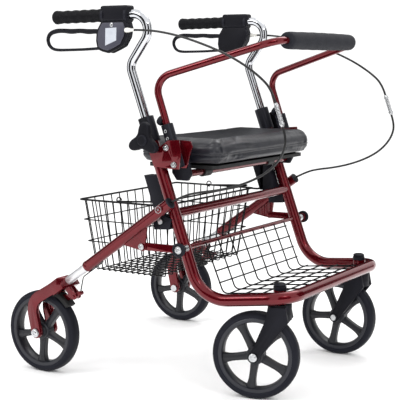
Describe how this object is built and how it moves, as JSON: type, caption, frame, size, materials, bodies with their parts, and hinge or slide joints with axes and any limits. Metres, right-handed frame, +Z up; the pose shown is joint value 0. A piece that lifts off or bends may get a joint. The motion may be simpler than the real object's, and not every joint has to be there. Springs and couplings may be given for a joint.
{
  "type": "four-wheeled folding rollator",
  "caption": "Folding wheeled walker with seat, padded backrest bar, wire tray, wire basket, loop brakes and swivel front casters.",
  "frame": {"origin": "on the floor, below the middle of the walker without its cables", "axes": "+X forward, the way the user walks; +Y to the user's left; +Z up"},
  "size_m": [0.7243, 0.6684, 0.845],
  "materials": {
    "frame_paint": "gloss metallic red powder coat",
    "leg_paint": "gloss metallic red powder coat",
    "chrome_tube": "polished chrome",
    "silver_tube": "satin anodised",
    "fastener_steel": "zinc plated",
    "black_plastic": "fine moulded texture",
    "lever_plastic": "fine moulded texture",
    "grip_rubber": "ribbed soft grip",
    "wire_black": "satin black dipped wire",
    "seat_leather": "grained vinyl leather",
    "pad_foam": "soft closed-cell foam",
    "board_black": "plain",
    "cable_jacket": "semi-gloss jacket",
    "coupler_metal": "nickel plated",
    "wheel_tyre": "matt polyurethane",
    "brake_rubber": "matt"
  },
  "bodies": {
    "frame": {"front_frame": "frame_paint", "cross_tubes": "frame_paint", "tray_grid": "wire_black", "upright_collars": "black_plastic", "side_plates": "frame_paint", "backrest_sockets": "black_plastic", "seat_rail_clamps": "black_plastic", "seat_rail": "frame_paint", "basket_guides": "black_plastic", "leg_stops": "black_plastic", "frame_fasteners": "fastener_steel", "cable_couplers": "coupler_metal", "lower_cable_right": "cable_jacket", "lower_cable_left": "cable_jacket"},
    "backrest": {"backrest_bar": "frame_paint", "backrest_pad": "pad_foam"},
    "seat": {"seat_pad": "seat_leather", "seat_board": "board_black"},
    "basket": {"basket": "wire_black"},
    "bail": {"basket_bail": "wire_black"},
    "height_knob_right": {"height_knob_right": "black_plastic"},
    "handle_right": {"handle_tube_right": "chrome_tube", "grip_right": "grip_rubber", "brake_housing_right": "lever_plastic", "upper_cable_right": "cable_jacket"},
    "brake_lever_right": {"brake_lever_right": "lever_plastic"},
    "leg_right": {"rear_leg_right": "leg_paint", "leg_extension_right": "silver_tube", "rear_fork_right": "leg_paint", "rear_axle_right": "fastener_steel"},
    "link_right": {"fold_link_right": "leg_paint"},
    "release_right": {"release_knob_right": "black_plastic"},
    "brake_right": {"brake_arm_right": "leg_paint", "brake_shoe_right": "brake_rubber"},
    "rear_wheel_right": {"rear_wheel_right": "wheel_tyre"},
    "caster_right": {"caster_fork_right": "black_plastic", "caster_stem_right": "fastener_steel", "caster_axle_right": "fastener_steel"},
    "caster_wheel_right": {"caster_wheel_right": "wheel_tyre"},
    "height_knob_left": {"height_knob_left": "black_plastic"},
    "handle_left": {"handle_tube_left": "chrome_tube", "grip_left": "grip_rubber", "brake_housing_left": "lever_plastic", "upper_cable_left": "cable_jacket"},
    "brake_lever_left": {"brake_lever_left": "lever_plastic"},
    "leg_left": {"rear_leg_left": "leg_paint", "leg_extension_left": "silver_tube", "rear_fork_left": "leg_paint", "rear_axle_left": "fastener_steel"},
    "link_left": {"fold_link_left": "leg_paint"},
    "release_left": {"release_knob_left": "black_plastic"},
    "brake_left": {"brake_arm_left": "leg_paint", "brake_shoe_left": "brake_rubber"},
    "rear_wheel_left": {"rear_wheel_left": "wheel_tyre"},
    "caster_left": {"caster_fork_left": "black_plastic", "caster_stem_left": "fastener_steel", "caster_axle_left": "fastener_steel"},
    "caster_wheel_left": {"caster_wheel_left": "wheel_tyre"}
  },
  "joints": [
    {"name": "backrest_lift", "type": "slide", "parent": "frame", "child": "backrest", "axis": [-0.326, 0, 0.9454], "range_m": [0, 0.07]},
    {"name": "seat_flip", "type": "hinge", "parent": "frame", "child": "seat", "pos_m": [0.08872, 0, 0.479], "axis": [0, 1, 0], "range_deg": [0, 84]},
    {"name": "basket_lift", "type": "slide", "parent": "frame", "child": "basket", "axis": [0, 0, 1], "range_m": [0, 0.075]},
    {"name": "bail_swing", "type": "hinge", "parent": "basket", "child": "bail", "pos_m": [-0.11328, 0, 0.401], "axis": [0, -1, 0], "range_deg": [0, 35]},
    {"name": "handle_height_right", "type": "slide", "parent": "frame", "child": "handle_right", "axis": [-0.342, 0, 0.9397], "range_m": [-0.07, 0.07], "deforming": ["upper_cable_right"]},
    {"name": "height_knob_turn_right", "type": "hinge", "parent": "frame", "child": "height_knob_right", "pos_m": [0.02306, -0.288, 0.55435], "axis": [0, -1, 0], "range_deg": [0, 300]},
    {"name": "brake_lever_right", "type": "hinge", "parent": "handle_right", "child": "brake_lever_right", "pos_m": [-0.07328, -0.265, 0.783], "axis": [0, 1, 0], "range_deg": [-9, 2.5], "stiffness_Nm_per_rad": 1},
    {"name": "leg_fold_right", "type": "hinge", "parent": "frame", "child": "leg_right", "pos_m": [0.07018, -0.297, 0.40766], "axis": [0, -1, 0], "range_deg": [0, 42], "deforming": ["lower_cable_right"]},
    {"name": "link_fold_right", "type": "hinge", "parent": "leg_right", "child": "link_right", "pos_m": [0.01772, -0.293, 0.321], "axis": [0, -1, 0], "range_deg": [-54, 0]},
    {"name": "release_pull_right", "type": "slide", "parent": "frame", "child": "release_right", "axis": [0, -1, 0], "range_m": [0, 0.007], "stiffness_N_per_m": 300},
    {"name": "brake_press_right", "type": "hinge", "parent": "leg_right", "child": "brake_right", "pos_m": [-0.16852, -0.297, 0.18942], "axis": [0, -1, 0], "range_deg": [-1, 3.5]},
    {"name": "rear_wheel_spin_right", "type": "hinge", "parent": "leg_right", "child": "rear_wheel_right", "pos_m": [-0.26328, -0.297, 0.096], "axis": [0, 1, 0], "continuous": true},
    {"name": "caster_swivel_right", "type": "hinge", "parent": "frame", "child": "caster_right", "pos_m": [0.31172, -0.209, 0.2], "axis": [0, 0, 1], "continuous": true},
    {"name": "caster_wheel_spin_right", "type": "hinge", "parent": "caster_right", "child": "caster_wheel_right", "pos_m": [0.26232, -0.22168, 0.096], "axis": [-0.2487, 0.9686, 0], "continuous": true},
    {"name": "handle_height_left", "type": "slide", "parent": "frame", "child": "handle_left", "axis": [-0.342, 0, 0.9397], "range_m": [-0.07, 0.07], "deforming": ["upper_cable_left"]},
    {"name": "height_knob_turn_left", "type": "hinge", "parent": "frame", "child": "height_knob_left", "pos_m": [0.02306, 0.288, 0.55435], "axis": [0, 1, 0], "range_deg": [0, 300]},
    {"name": "brake_lever_left", "type": "hinge", "parent": "handle_left", "child": "brake_lever_left", "pos_m": [-0.07328, 0.265, 0.783], "axis": [0, 1, 0], "range_deg": [-9, 2.5], "stiffness_Nm_per_rad": 1},
    {"name": "leg_fold_left", "type": "hinge", "parent": "frame", "child": "leg_left", "pos_m": [0.07018, 0.297, 0.40766], "axis": [0, -1, 0], "range_deg": [0, 42], "deforming": ["lower_cable_left"]},
    {"name": "link_fold_left", "type": "hinge", "parent": "leg_left", "child": "link_left", "pos_m": [0.01772, 0.293, 0.321], "axis": [0, -1, 0], "range_deg": [-54, 0]},
    {"name": "release_pull_left", "type": "slide", "parent": "frame", "child": "release_left", "axis": [0, 1, 0], "range_m": [0, 0.007], "stiffness_N_per_m": 300},
    {"name": "brake_press_left", "type": "hinge", "parent": "leg_left", "child": "brake_left", "pos_m": [-0.16852, 0.297, 0.18942], "axis": [0, -1, 0], "range_deg": [-1, 3.5]},
    {"name": "rear_wheel_spin_left", "type": "hinge", "parent": "leg_left", "child": "rear_wheel_left", "pos_m": [-0.26328, 0.297, 0.096], "axis": [0, 1, 0], "continuous": true},
    {"name": "caster_swivel_left", "type": "hinge", "parent": "frame", "child": "caster_left", "pos_m": [0.31172, 0.209, 0.2], "axis": [0, 0, 1], "continuous": true},
    {"name": "caster_wheel_spin_left", "type": "hinge", "parent": "caster_left", "child": "caster_wheel_left", "pos_m": [0.26072, 0.20855, 0.096], "axis": [-0.0087, 1, 0], "continuous": true}
  ],
  "couplings": [
    {"joint": "link_fold_right", "follows": "leg_fold_right", "ratio": -1.25},
    {"joint": "brake_press_right", "follows": "brake_lever_right", "ratio": -0.38},
    {"joint": "link_fold_left", "follows": "leg_fold_left", "ratio": -1.25},
    {"joint": "brake_press_left", "follows": "brake_lever_left", "ratio": -0.38}
  ]
}
